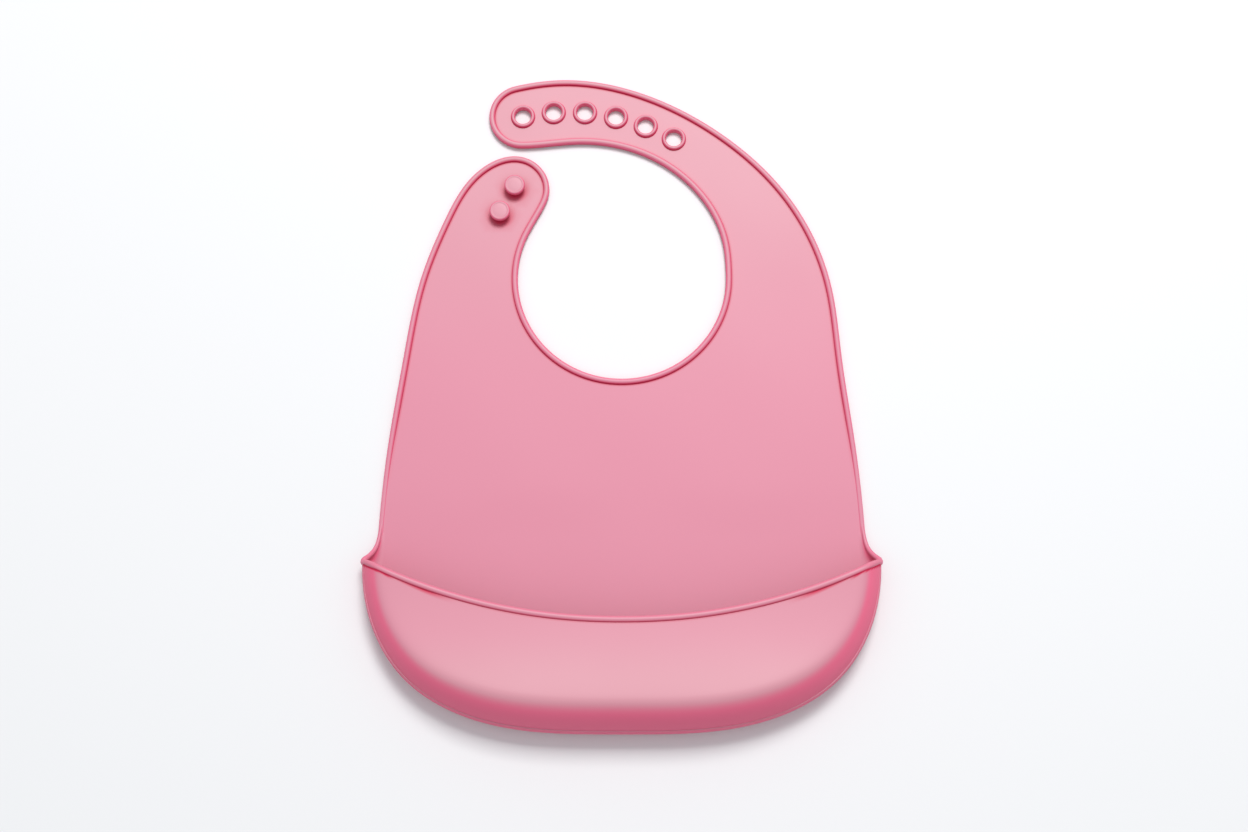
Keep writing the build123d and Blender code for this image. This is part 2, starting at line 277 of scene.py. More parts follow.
def make_object(name, points, faces, painted_shade=None, plain=0.0):
    """A smooth mesh object from millimetre points.

    The fourth argument is how far each point's colour deepens as painted shade; plain is how pale its flanks stay
    against painted flank shade.
    """
    mesh = bpy.data.meshes.new(name)
    mesh.from_pydata([tuple(float(c) * MM for c in p) for p in points], [], faces)
    mesh.update()
    values = {"painted_shade": np.zeros(len(points)) if painted_shade is None else np.asarray(painted_shade),
              "plain": np.full(len(points), plain),
              "painted_sheen": painted_sheen_share(np.array([tuple(p) for p in points]))}
    for attribute, value in values.items():
        mesh.attributes.new(attribute, "FLOAT", "POINT").data.foreach_set("value", value.astype(np.float32))
    obj = bpy.data.objects.new(name, mesh)
    bpy.context.scene.collection.objects.link(obj)
    mesh.materials.append(pink)
    return obj


def clean(obj, join=1e-6):
    """Joins doubled points, drops empty faces, turns every face outwards and shades it smooth."""
    bm = bmesh.new()
    bm.from_mesh(obj.data)
    bmesh.ops.remove_doubles(bm, verts=bm.verts, dist=join)
    bmesh.ops.dissolve_degenerate(bm, dist=1e-7, edges=bm.edges)
    bmesh.ops.recalc_face_normals(bm, faces=bm.faces)
    bm.to_mesh(obj.data)
    bm.free()
    for polygon in obj.data.polygons:
        polygon.use_smooth = True
    obj.data.set_sharp_from_angle(angle=SHARP)


def inside_loop(points, loop):
    """Which plan points lie inside a closed loop."""
    x, y = points[:, 0], points[:, 1]
    inside = np.zeros(len(points), bool)
    previous = loop[-1]
    for corner in loop:
        crosses = (corner[1] > y) != (previous[1] > y)
        if crosses.any():
            run = (previous[0] - corner[0]) * (y - corner[1]) / (previous[1] - corner[1] + 1e-12) + corner[0]
            inside ^= crosses & (x < run)
        previous = corner
    return inside


def away_from(points, line, distance):
    """Which plan points are at least a distance from every point of a line."""
    keep = np.ones(len(points), bool)
    for start in range(0, len(line), 200):
        part = line[start:start + 200]
        near = np.linalg.norm(points[:, None, :] - part[None, :, :], axis=2).min(axis=1)
        keep &= near > distance
    return keep


# ---------------------------------------------------------------- material
# Own pink and its random clouding, then painted sheen pink, painted flank shade pink and painted crease shade red.
LEVEL_PINK = (0.612, 0.208, 0.292, 1)
LEVEL_PINK_CLOUDED = (0.636, 0.221, 0.308, 1)
PAINTED_SHEEN_PINK = (0.590, 0.254, 0.312, 1)
FLANK_SHADE_PINK = (0.800, 0.152, 0.262, 1)
CREASE_SHADE_RED = (0.560, 0.016, 0.066, 1)
LEVEL_FACING = (0.68, 1.0)   # how far up or down a face points where it starts to count as level, and ends; other faces take painted flank shade
LEVEL_SHEEN = (0.12, 0.5)    # specular level on the flanks and where it is level
CREASE_SHEEN = (1.0, 0.2)    # and the share of it on the skin and in a crease
ROUGHNESS = (0.42, 0.52)
REFRACTION = 1.50
CLOUD_SCALE = 14.0
CLOUD_DETAIL = 2.0
GRAIN_SCALE = 2600.0
GRAIN_DETAIL = 3.0
GRAIN_STRENGTH = 0.10
GRAIN_DEPTH = 0.0001


def silicone():
    """Satin pink silicone: paler where it lies level, with painted shade on its flanks and in its creases and a
    painted sheen.
    """
    material = bpy.data.materials.new("silicone_pink")
    material.use_nodes = True
    nodes, links = material.node_tree.nodes, material.node_tree.links
    nodes.clear()
    out = nodes.new("ShaderNodeOutputMaterial")
    shader = nodes.new("ShaderNodeBsdfPrincipled")
    links.new(shader.outputs["BSDF"], out.inputs["Surface"])
    place = nodes.new("ShaderNodeTexCoord")

    def mixed(first, second, factor):
        mix = nodes.new("ShaderNodeMix")
        mix.data_type = "RGBA"
        for value, name in ((first, "A"), (second, "B")):
            if isinstance(value, tuple):
                mix.inputs[name].default_value = value
            else:
                links.new(value, mix.inputs[name])
        links.new(factor, mix.inputs["Factor"])
        return mix.outputs["Result"]

    def noise(scale, detail):
        texture = nodes.new("ShaderNodeTexNoise")
        texture.inputs["Scale"].default_value = scale
        texture.inputs["Detail"].default_value = detail
        links.new(place.outputs["Object"], texture.inputs["Vector"])
        return texture.outputs["Fac"]

    def attribute(name):
        node = nodes.new("ShaderNodeAttribute")
        node.attribute_name = name
        return node.outputs["Fac"]

    def maths(operation, *values):
        node = nodes.new("ShaderNodeMath")
        node.operation = operation
        for value, socket in zip(values, node.inputs):
            links.new(value, socket)
        return node.outputs["Value"]

    def mapped(value, ends, side, kind="LINEAR"):
        """A value mapped from (side is From) or to (side is To) a pair of ends."""
        node = nodes.new("ShaderNodeMapRange")
        node.interpolation_type = kind
        node.inputs[side + " Min"].default_value, node.inputs[side + " Max"].default_value = ends
        links.new(value, node.inputs["Value"])
        return node.outputs["Result"]

    cloud = noise(CLOUD_SCALE, CLOUD_DETAIL)
    # The silicone's own pink, clouded at random, then paled by the painted sheen.
    level_colour = mixed(mixed(LEVEL_PINK, LEVEL_PINK_CLOUDED, cloud), PAINTED_SHEEN_PINK, attribute("painted_sheen"))
    facing = nodes.new("ShaderNodeNewGeometry")
    split = nodes.new("ShaderNodeSeparateXYZ")
    links.new(facing.outputs["Normal"], split.inputs["Vector"])
    level = mapped(maths("ABSOLUTE", split.outputs["Z"]), LEVEL_FACING, "From", "SMOOTHSTEP")
    # Painted shade: faces that lean away from level take the deeper flank pink, unless plain holds them pale.
    skin = mixed(FLANK_SHADE_PINK, level_colour, maths("MAXIMUM", level, attribute("plain")))
    # Painted shade in creases: the colour turns dark red there and the specular level drops.
    shade_depth = attribute("painted_shade")
    links.new(mixed(skin, CREASE_SHADE_RED, shade_depth), shader.inputs["Base Color"])
    sheen = maths("MULTIPLY", mapped(level, LEVEL_SHEEN, "To"), mapped(shade_depth, CREASE_SHEEN, "To"))
    links.new(sheen, shader.inputs["Specular IOR Level"])

    bump = nodes.new("ShaderNodeBump")
    bump.inputs["Strength"].default_value = GRAIN_STRENGTH
    bump.inputs["Distance"].default_value = GRAIN_DEPTH
    links.new(noise(GRAIN_SCALE, GRAIN_DETAIL), bump.inputs["Height"])
    links.new(bump.outputs["Normal"], shader.inputs["Normal"])
    links.new(mapped(cloud, ROUGHNESS, "To"), shader.inputs["Roughness"])
    shader.inputs["IOR"].default_value = REFRACTION
    return material


pink = silicone()


# ---------------------------------------------------------------- height of the sheet
BROAD, SLANTING, FINE = 0.30, 0.22, 0.12   # heights of three waves in the sheet
LIFT = 0.35                                # share of them that it keeps
LIFT_RUN = 25.0                            # they grow from nothing over this distance behind the pocket


def lift(x, y):
    """The sheet lies a little unevenly on the table, and nowhere under it."""
    wave = (BROAD * np.sin(x / 31.0 + 0.7) * np.cos(y / 37.0 - 0.4)
            + SLANTING * np.sin(x / 17.0 - y / 23.0 + 1.9)
            + FINE * np.cos(x / 12.0 + y / 14.0))
    deepest = BROAD + SLANTING + FINE
    return (wave + deepest) * LIFT * ease(y, APRON_END, APRON_END + LIFT_RUN)


# ---------------------------------------------------------------- apron and straps
CREASE_MIDDLE = 0.55         # depth of painted shade in a crease that opens sideways
CREASE_SWING = 0.45          # and how much that changes towards or away from the key light, on the neck's side


def crease_shade(towards_neck):
    """Painted shade in a crease, deepest where it opens away from the key light on the neck's side."""
    return CREASE_MIDDLE - CREASE_SWING * towards_neck


# Centres of the eyelets and studs, from the CAD.
EYELETS = {name: (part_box(name)[0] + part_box(name)[1]) / 2 / MM
           for name in sorted(frame["nodes"]) if name.startswith("eyelet_ring")}
STUDS = {name: (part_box(name)[0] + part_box(name)[1]) / 2 / MM for name in ("stud_1", "stud_2")}
RING_HALF = (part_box("eyelet_ring_1")[1].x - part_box("eyelet_ring_1")[0].x) / 2 / MM
HOLE_LOOP_RADIUS = RING_HALF - 1.0   # the sheet is cut out here, under the middle of the ring
HOLE_SLACK = 0.98                    # share of that radius inside which a triangle belongs to the hole
RING_ROUNDS = (0.3, 1.2)             # rounds of points outside each ring
RING_CLEAR = 2.6                     # and the grid starts this far outside it
STUD_ROUNDS = (3.0, 4.2, 5.2, 6.3, 7.6)
STUD_CLEAR = 9.0
STUD_FOOT = 3.8                      # the sheet's painted shade is deepest up to this radius round a stud
LOOP_POINTS = 32


def circle(centre, radius, count):
    angle = np.arange(count) * 2 * math.pi / count
    return np.column_stack([centre[0] + radius * np.cos(angle), centre[1] + radius * np.sin(angle)])


def foot_shade(plan):
    """Painted shade on the sheet round the foot of each stud, deepest on the side away from the key light."""
    shade = np.zeros(len(plan))
    for centre in STUDS.values():
        offset = plan - np.array(centre)[:2]
        gap = np.maximum(np.linalg.norm(offset, axis=1), 0.001)
        shade = np.maximum(shade, (1 - ease(gap, STUD_FOOT, STUD_CLEAR)) * crease_shade(offset[:, 1] / gap))
    return shade


def flat_sheet():
    """The apron, the floor of the pocket and both straps, as one mesh with its edge bead."""
    edge = bib_edge()
    left = inward(edge)
    count, rows = len(edge), len(BEAD_SECTION)
    points, painted_shade = [], []
    soft = ease(-edge[:, 1], SOFT_START, SOFT_END)
    for distance, height, shade_depth in BEAD_SECTION:
        inset = distance * (1 - SOFT_WIDTH * soft * (distance < BEAD_SECTION[-1][0]))
        plan = edge + left * inset[:, None]
        height = height - SOFT_HEIGHT * soft * max(height - SHEET, 0)
        points.append(np.column_stack([plan, height + lift(plan[:, 0], plan[:, 1])]))
        # Painted shade on the bead, deepest on the side that faces away from the key light.
        facing = left[:, 1] if distance > BEAD_CREST else -left[:, 1]
        painted_shade.append(shade_depth * crease_shade(facing) * (1 - SOFT_COLOUR * soft))
    faces = grid_faces(rows, count)
    painted_shade = np.concatenate(painted_shade)

    contour = resample(pocket_edge(), EDGE_STEP * 2)
    floor = contour + inward(contour) * LOW_ROUND
    floor = floor[(floor[:, 1] < APRON_END)]
    floor = np.vstack([[floor[0, 0], APRON_END], floor, [floor[-1, 0], APRON_END]])
    inner = edge + left * BEAD_SECTION[-1][0]
    boundary = np.vstack([inner, floor])
    loops = [circle(c, HOLE_LOOP_RADIUS, LOOP_POINTS) for c in EYELETS.values()]
    rounds = [circle(c, RING_HALF + extra, LOOP_POINTS) for c in EYELETS.values() for extra in RING_ROUNDS]
    rounds += [circle(c, radius, LOOP_POINTS) for c in STUDS.values() for radius in STUD_ROUNDS]

    low, high = boundary.min(axis=0), boundary.max(axis=0)
    xs = np.arange(low[0], high[0], GRID_STEP)
    ys = np.arange(low[1], high[1], GRID_ROW_STEP)
    middle = np.array([(x + (GRID_STEP / 2 if j % 2 else 0), y) for j, y in enumerate(ys) for x in xs])
    middle = middle[inside_loop(middle, boundary)]
    middle = middle[away_from(middle, boundary, GRID_CLEAR)]
    for centres, clear in ((EYELETS, RING_HALF + RING_CLEAR), (STUDS, STUD_CLEAR)):
        for centre in centres.values():
            middle = middle[np.linalg.norm(middle - np.array(centre)[:2], axis=1) > clear]

    flat = np.vstack([boundary, *loops, *rounds, middle])
    constraints = [(i, (i + 1) % len(boundary)) for i in range(len(boundary))]
    start = len(boundary)
    for loop in loops:
        constraints += [(start + i, start + (i + 1) % len(loop)) for i in range(len(loop))]
        start += len(loop)
    verts, _, triangles, origin, _, _ = delaunay_2d_cdt([Vector(p) for p in flat], constraints, [], 1, 1e-5)
    verts = np.array([tuple(v) for v in verts])
    triangles = np.array(triangles)
    centres = verts[triangles].mean(axis=1)
    keep = inside_loop(centres, boundary)
    for centre in EYELETS.values():
        keep &= np.linalg.norm(centres - np.array(centre)[:2], axis=1) > HOLE_LOOP_RADIUS * HOLE_SLACK
    triangles = triangles[keep]

    wave = lift(verts[:, 0], verts[:, 1])
    base = rows * count
    points.append(np.column_stack([verts, wave + SHEET]))
    points.append(np.column_stack([verts, wave]))
    size = len(verts)
    faces += [[base + int(i) for i in t] for t in triangles]
    faces += [[base + size + int(i) for i in t[::-1]] for t in triangles]
    border = {}
    for t in triangles:
        for a, b in ((t[0], t[1]), (t[1], t[2]), (t[2], t[0])):
            key = (min(a, b), max(a, b))
            border[key] = border.get(key, 0) + 1
    on_inner = {i for i, source in enumerate(origin) if any(s < count for s in source)}
    for (a, b), uses in border.items():
        if uses == 1 and not (a in on_inner and b in on_inner):
            faces.append([base + int(a), base + int(b), base + size + int(b), base + size + int(a)])
    for column in (0, count - 1):
        faces.append([r * count + column for r in range(rows)])
    return np.vstack(points), faces, np.concatenate([painted_shade, foot_shade(verts), np.zeros(size)])


joints = {j["name"]: j for j in frame["joints"]}
neck = Vector((*joints["hole_strap_flex_1"]["pos_m"][:2], 0))
# Angles about the neck's centre, in degrees: how far before the first joint each strap's first piece
# starts, and where the long strap's last piece starts, which is between two eyelets.
LONG_ROOT = 22
SHORT_ROOT = 18
LONG_LAST = 75.9


def joint_angle(name):
    """The angle about the neck's centre of a strap's flex line, in degrees."""
    axis = joints[name]["axis"]
    angle = math.degrees(math.atan2(axis[1], axis[0]))
    return angle % 360 if not name.startswith("stud") else (angle + 180) % 360


def close_ends(bm):
    """Fills the cut ends of a piece, facing outwards."""
    rim = [e for e in bm.edges if len(e.link_faces) == 1]
    for cap in bmesh.ops.holes_fill(bm, edges=rim, sides=0)["faces"]:
        first, second = cap.edges[0].link_loops
        if first.vert == second.vert:
            cap.normal_flip()
        bmesh.ops.triangulate(bm, faces=[cap])


def split_sheet():
    """Cuts the one sheet into the apron and strap pieces, each strap piece across one joint."""
    whole = make_object("whole_sheet", *flat_sheet())
    clean(whole)
    long = [joint_angle(f"hole_strap_flex_{i}") for i in (1, 2, 3)]
    short = [joint_angle(f"stud_strap_flex_{i}") for i in (1, 2)]
    long_root, long_1, long_2 = long[0] - LONG_ROOT, (long[0] + long[1]) / 2, (long[1] + long[2]) / 2
    short_root, short_1 = short[0] + SHORT_ROOT, (short[0] + short[1]) / 2
    bm = bmesh.new()
    bm.from_mesh(whole.data)
    for angle in (long_root, long_1, long_2, LONG_LAST, short_root, short_1):
        across = Vector((-math.sin(math.radians(angle)), math.cos(math.radians(angle)), 0))
        bmesh.ops.bisect_plane(bm, geom=bm.verts[:] + bm.edges[:] + bm.faces[:], dist=1e-6,
                               plane_co=neck, plane_no=across)
    bm.to_mesh(whole.data)
    bm.free()
    mesh = whole.data
    mesh.set_sharp_from_angle(angle=SHARP)
    painted_shade = mesh.attributes["painted_shade"].data

    short_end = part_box("stud_strap_2_bead")[1]
    between = (short_end.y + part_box("hole_strap_4_bead")[0].y) / 2

    def piece_of(centre):
        spoke = centre - neck
        angle = math.degrees(math.atan2(spoke.y, spoke.x)) % 360
        if short_root <= angle < long_root + 360:
            return "apron"
        if angle < short_root and centre.x < short_end.x and centre.y < between:
            return "short_strap_root" if angle > short_1 else "short_strap_end"
        if angle >= short_root or angle < long_1:
            return "long_strap_root"
        if angle < long_2:
            return "long_strap_shoulder"
        return "long_strap_middle" if angle < LONG_LAST else "long_strap_end"

    groups = {}
    for polygon in mesh.polygons:
        groups.setdefault(piece_of(polygon.center), []).append(polygon)
    pieces = {}
    for name, polygons in groups.items():
        index = {}
        for polygon in polygons:
            for v in polygon.vertices:
                index.setdefault(v, len(index))
        faces = [[index[v] for v in polygon.vertices] for polygon in polygons]
        points = [mesh.vertices[v].co / MM for v in index]
        piece = make_object(name, points, faces, [painted_shade[v].value for v in index])
        bm = bmesh.new()
        bm.from_mesh(piece.data)
        close_ends(bm)
        bm.to_mesh(piece.data)
        bm.free()
        corners = [mesh.corner_normals[i].vector.copy() for p in polygons for i in p.loop_indices]
        for polygon in piece.data.polygons:
            polygon.use_smooth = True
            if polygon.index >= len(polygons):
                corners += [polygon.normal.copy()] * len(polygon.vertices)
        piece.data.normals_split_custom_set(corners)
        pieces[name] = piece
    bpy.data.objects.remove(whole)
    return pieces


sheet_pieces = split_sheet()


# ---------------------------------------------------------------- pocket
contour_line = pocket_edge()
contour_side = inward(contour_line)
HALF = contour_line[-1, 0]
RIM_CENTRE_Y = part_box("pocket_rim")[0].y / MM + 2.3   # the middle of the bead, at the middle of the rim


def from_contour(plan):
    """How far in from the pocket's widest contour each plan point lies, and the way in there."""
    best = np.full(len(plan), np.inf)
    nearest = np.zeros(len(plan), int)
    for start in range(0, len(contour_line), 100):
        gap = np.linalg.norm(plan[:, None] - contour_line[None, start:start + 100], axis=2)
        closer = gap.min(axis=1) < best
        nearest[closer] = start + gap.argmin(axis=1)[closer]
        best = np.minimum(best, gap.min(axis=1))
    side = contour_side[nearest]
    return ((plan - contour_line[nearest]) * side).sum(axis=1), side


def top_surface(plan):
    """Height of the pocket's outside above each plan point, and the outward normal there."""
    distance, side = from_contour(plan)
    reach = TOP_ROUND + SIDE_ROUND * np.abs(side[:, 0]) ** SIDE_POWER
    left = 1 - np.clip(distance / reach, 0, 1)
    rise = (1 - left ** ROUND_POWER) ** (1 / ROUND_POWER)
    rounded = PARTING + TOP_RISE * rise
    steep = TOP_RISE / reach * (left / np.maximum(rise, 0.001)) ** (ROUND_POWER - 1)
    past = plan[:, 1] - CREST_Y
    sloping = PARTING + TOP_RISE - FRONT_FALL * past + FRONT_EASE * past ** 2
    gap = (sloping - rounded) / 2
    soft = np.sqrt(gap ** 2 + CREST_SOFTNESS ** 2)
    share = 0.5 + gap / (2 * soft)
    slope = side * (share * steep)[:, None]
    slope[:, 1] -= (1 - share) * (FRONT_FALL - 2 * FRONT_EASE * past)
    normal = np.column_stack([-slope, np.ones(len(plan))])
    return (sloping + rounded) / 2 - soft, normal / np.linalg.norm(normal, axis=1)[:, None]


def rim_y(x):
    """Where the rim lies at each distance across the pocket."""
    share = np.abs(x) / HALF
    return RIM_CENTRE_Y + (EAR_Y - RIM_CENTRE_Y) * share ** RIM_SAG_POWER


def two_skins(name, outer, inner, painted_shade=None):
    """A closed wall between two grids of points."""
    rows, columns = outer.shape[:2]
    size = rows * columns
    points = np.vstack([outer.reshape(-1, 3), inner.reshape(-1, 3)])
    faces = grid_faces(rows, columns) + grid_faces(rows, columns, size, flip=True)
    for row in (0, rows - 1):
        for c in range(columns - 1):
            a, b = row * columns + c, row * columns + c + 1
            faces.append([a, b, size + b, size + a])
    for column in (0, columns - 1):
        for r in range(rows - 1):
            a, b = r * columns + column, (r + 1) * columns + column
            faces.append([a, b, size + b, size + a])
    obj = make_object(name, points, faces, painted_shade)
    clean(obj, 2e-6)
    return obj


def pocket_wall():
    """The pocket's wall from the parting line up to the rim."""
    run = np.linalg.norm(np.diff(contour_line, axis=0), axis=1).sum()
    contour = resample(contour_line, run / POCKET_COLUMNS)
    rim_x = HALF * np.linspace(-1, 1, len(contour))
    rim = np.column_stack([rim_x, rim_y(rim_x)])
    outer, inner, painted_shade = [], [], []
    for step in np.linspace(0, 1, WALL_ROWS):
        plan = contour + (rim - contour) * (1 - math.cos(step * math.pi / 2))
        height, normal = top_surface(plan)
        skin = np.column_stack([plan, np.maximum(height, PARTING)])
        outer.append(skin)
        inner.append(skin - normal * WALL)
        # Painted shade on the wall just under the rim bead.
        painted_shade.append(1 - ease(np.linalg.norm(plan - rim, axis=1), *RIM_SHADE))
    return two_skins("pocket_wall", np.array(outer), np.array(inner), np.concatenate(painted_shade + painted_shade))


def smooth_path(points, step):
    """A cubic B-spline along a line of points, evenly resampled."""
    points = np.asarray(points, float)
    points = np.vstack([2 * points[0] - points[1], points, 2 * points[-1] - points[-2]])
    line = []
    for i in range(len(points) - 3):
        for t in np.linspace(0, 1, 8, endpoint=False):
            weights = np.array([(1 - t) ** 3, 3 * t ** 3 - 6 * t ** 2 + 4,
                                -3 * t ** 3 + 3 * t ** 2 + 3 * t + 1, t ** 3]) / 6
            line.append(weights @ points[i:i + 4])
    return resample(np.array(line), step)


def ear_line():
    """Centre line of the bead from the right ear back to the apron's edge."""
    edge_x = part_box("lower_bead_right")[1].x / MM - BEAD_END_RADIUS
    ear_x = HALF - EAR_INSET
    return [(edge_x + share * (ear_x - edge_x), EAR_Y + back, height) for back, share, height in EAR_LINE]


def pocket_low():
    """The wall below the parting line, which curves under to the table and runs out along the apron."""
    contour = resample(contour_line, EDGE_STEP)
    side = inward(contour)
    level = np.full(len(contour), PARTING)
    foot = contour + side * LOW_ROUND
    outer_top = np.column_stack([contour, level])
    inner_top = np.column_stack([contour + side * WALL, level])

    ear = smooth_path(ear_line()[:-1], EDGE_STEP)
    ahead = np.gradient(ear[:, :2], axis=0)
    away = np.column_stack([ahead[:, 1], -ahead[:, 0]]) / np.linalg.norm(ahead, axis=1)[:, None]
    reach = np.column_stack([away, np.zeros(len(ear))]) * WALL / 2
    run = ease(ear[:, 1], EAR_Y, APRON_END + FOOT_RUN_ON)
    apron_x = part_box("lower_bead_right")[1].x / MM - BEAD_SECTION[0][0]
    ear_foot = np.column_stack([foot[-1, 0] + (apron_x - foot[-1, 0]) * run, ear[:, 1]])
    flip = np.array([-1, 1])
    flip_3 = np.array([-1, 1, 1])
    foot = np.vstack([(ear_foot * flip)[::-1], foot, ear_foot])
    outer_top = np.vstack([((ear + reach) * flip_3)[::-1], outer_top, ear + reach])
    inner_top = np.vstack([((ear - reach) * flip_3)[::-1], inner_top, ear - reach])

    grids = []
    for top, low in ((outer_top, 0.0), (inner_top, WALL)):
        rows = []
        for step in np.linspace(0, 1, LOW_ROWS):
            angle = step * math.pi / 2
            plan = foot + (top[:, :2] - foot) * math.sin(angle)
            height = low + (top[:, 2] - low) * (1 - math.cos(angle))
            rows.append(np.column_stack([plan, height]))
        grids.append(np.array(rows))
    return two_skins("pocket_low_wall", *grids)


def tube(name, path, radius, sides=16, paint_shade=None):
    """A round bar along a path; radius is one number for each point of the path."""
    ahead = np.gradient(path, axis=0)
    ahead /= np.linalg.norm(ahead, axis=1)[:, None]
    up = np.array([0.0, 0.0, 1.0])
    rings = []
    for point, direction, size in zip(path, ahead, radius):
        across = np.cross(up, direction)
        across /= np.linalg.norm(across)
        up = np.cross(direction, across)
        angle = np.arange(sides) * 2 * math.pi / sides
        rings.append(point + size * (np.outer(np.cos(angle), across) + np.outer(np.sin(angle), up)))
    points = np.vstack(rings)
    faces = []
    for r in range(len(path) - 1):
        for k in range(sides):
            a, b = r * sides + k, r * sides + (k + 1) % sides
            faces.append([a, b, b + sides, a + sides])
    faces.append(list(range(sides))[::-1])
    faces.append([(len(path) - 1) * sides + k for k in range(sides)])
    obj = make_object(name, points, faces, None if paint_shade is None else paint_shade(points), plain=TUBE_PLAIN)
    clean(obj)
    return obj


def points_to_end(path):
    """How many points lie between each point of a path and its nearer end."""
    count = np.arange(len(path))
    return np.minimum(count, count[::-1])


# Painted shade on the rim bead's outer side: it deepens between two distances outside its centre line and in
# from the ear, and fades again between two heights over the wall.
DEEP_OUTSIDE = (0.4, 1.2)
DEEP_FROM_EAR = (3, 9)
DEEP_HEIGHT = (0.1, 1.1)


def rim_bead():
    """The bead along the pocket's mouth, from one edge of the apron over both ears to the other."""
    inset = np.concatenate([RIM_CORNER, np.linspace(RIM_REST_START, HALF - EAR_INSET, RIM_REST_COUNT)])
    x = HALF - EAR_INSET - inset
    plan = np.column_stack([x, rim_y(x)])
    height, normal = top_surface(plan)
    sunk = WALL / 2 + (RIM_SUNK - WALL / 2) * ease(inset, 0, RIM_SUNK_RUN)
    rim = np.column_stack([plan, height]) - normal * sunk[:, None]
    half = ear_line()[::-1] + [tuple(p) for p in rim]
    half[-1] = (0.0, half[-1][1], half[-1][2])
    path = smooth_path(half + [(-px, py, pz) for px, py, pz in half[-2::-1]], RIM_STEP)
    run = points_to_end(path) * RIM_STEP
    thin, at_ear, at_rim = RADIUS_RUNS
    radius = (BEAD_END_RADIUS + (EAR_RADIUS - BEAD_END_RADIUS) * ease(run, thin, at_ear)
              + (RIM_RADIUS - EAR_RADIUS) * ease(run, at_ear, at_rim))
    ear = path[path[:, 0].argmax()]
    gap = np.linalg.norm(np.column_stack([np.abs(path[:, 0]), path[:, 1:]]) - ear, axis=1)
    radius += EAR_KNOB * (1 - ease(gap, KNOB_CORE, KNOB_END))

    def paint_shade(points):
        """Painted shade on the bead's outer side, away from the key light, low down, and clear of the ears."""
        height, _ = top_surface(points[:, :2])
        outer = ease(rim_y(points[:, 0]) - points[:, 1], *DEEP_OUTSIDE)
        low = 1 - ease(points[:, 2] - height, *DEEP_HEIGHT)
        return outer * low * ease(HALF - np.abs(points[:, 0]), *DEEP_FROM_EAR)

    return tube("rim_bead", path, radius, paint_shade=paint_shade)


def parting_ridge():
    """The fine raised line round the pocket, which thins out at both ends."""
    contour = resample(contour_line, EDGE_STEP)
    plan = contour + inward(contour) * RIDGE_INSET
    plan = plan[plan[:, 1] < RIDGE_END_Y]
    path = np.column_stack([plan, top_surface(plan)[0]])
    share = RIDGE_THIN + (1 - RIDGE_THIN) * ease(points_to_end(path), 0, RIDGE_TAPER)
    return tube("parting_ridge_line", path, RIDGE_RADIUS * share, sides=8)


wall_piece = pocket_wall()
low_piece = pocket_low()
rim_piece = rim_bead()
ridge_piece = parting_ridge()


# ---------------------------------------------------------------- eyelets and studs
def lathe(name, centre, section, bore, count=48, closed=True):
    """A solid of revolution about a vertical line.

    The section is radius, height and depth of painted shade. Faces inside the bore face the centre.
    """
    angle = np.arange(count) * 2 * math.pi / count
    points = [(centre.x + r * math.cos(a), centre.y + r * math.sin(a), z)
              for r, z, _ in section for a in angle]
    faces = []
    rows = len(section)
    for r in range(rows if closed else rows - 1):
        for s in range(count):
            a, b = r * count + s, r * count + (s + 1) % count
            c, d = ((r + 1) % rows) * count + (s + 1) % count, ((r + 1) % rows) * count + s
            faces.append([a, b, c, d])
    # Painted shade, deepest on faces turned away from the key light, which inside the bore lie on the light's
    # side.
    shade = [shade_depth * crease_shade(math.sin(a) if r > bore else -math.sin(a)) for r, _, shade_depth in section
             for a in angle]
    obj = make_object(name, points, faces, shade)
    clean(obj)
    return obj


def raised(name, centre, section, bore=0.0, closed=True):
    """A lathed feature that stands on the sheet where the sheet lies a little high."""
    rise = float(lift(np.array([centre.x]), np.array([centre.y]))[0])
    section = [(r, z + rise, shade_depth) for r, z, shade_depth in section]
    return lathe(name + "_moulded", centre, section, bore, closed=closed)


# Sections of the eyelet rings and studs: radius, height and depth of painted shade, deepest at a ring's outer foot
# and under a stud's head.
RING_SECTION = [
    (3.8, 0.25, 0.1), (3.8, 1.6, 0.1), (3.82, 2.5, 0.15), (3.98, 2.98, 0.3), (4.3, 3.3, 0.1),
    (4.75, 3.42, 0.0), (5.1, 3.3, 0.0), (5.34, 2.95, 0.2), (5.48, 2.45, 0.7), (5.6, 1.95, 1.0),
    (5.72, 1.84, 1.0), (6.1, 1.6, 0.3), (6.0, 1.2, 0.0), (5.2, 0.6, 0.0), (4.6, 0.0, 0.0),
    (4.05, 0.0, 0.0),
]
RING_BORE = 4.5
STUD_SECTION = [
    (0.0, 1.0, 0.0), (4.6, 1.0, 0.0), (4.3, 1.7, 0.7), (3.6, 1.86, 0.9), (3.1, 2.1, 1.0),
    (2.8, 2.6, 1.0), (2.75, 3.2, 1.0), (2.8, 3.8, 1.0), (3.1, 4.1, 1.0), (3.8, 4.22, 1.0),
    (4.3, 4.3, 1.0), (4.6, 4.5, 0.5), (4.72, 4.9, 0.25), (4.74, 5.6, 0.2), (4.68, 6.15, 0.1),
    (4.45, 6.5, 0.0), (4.1, 6.7, 0.0), (3.8, 6.74, 0.0), (3.6, 6.66, 0.25), (3.35, 6.6, 0.12),
    (3.1, 6.64, 0.0), (1.2, 6.7, 0.0), (0.0, 6.7, 0.0),
]
rings = {name: raised(name, centre, RING_SECTION, bore=RING_BORE) for name, centre in EYELETS.items()}
studs = {name: raised(name, centre, STUD_SECTION, closed=False) for name, centre in STUDS.items()}


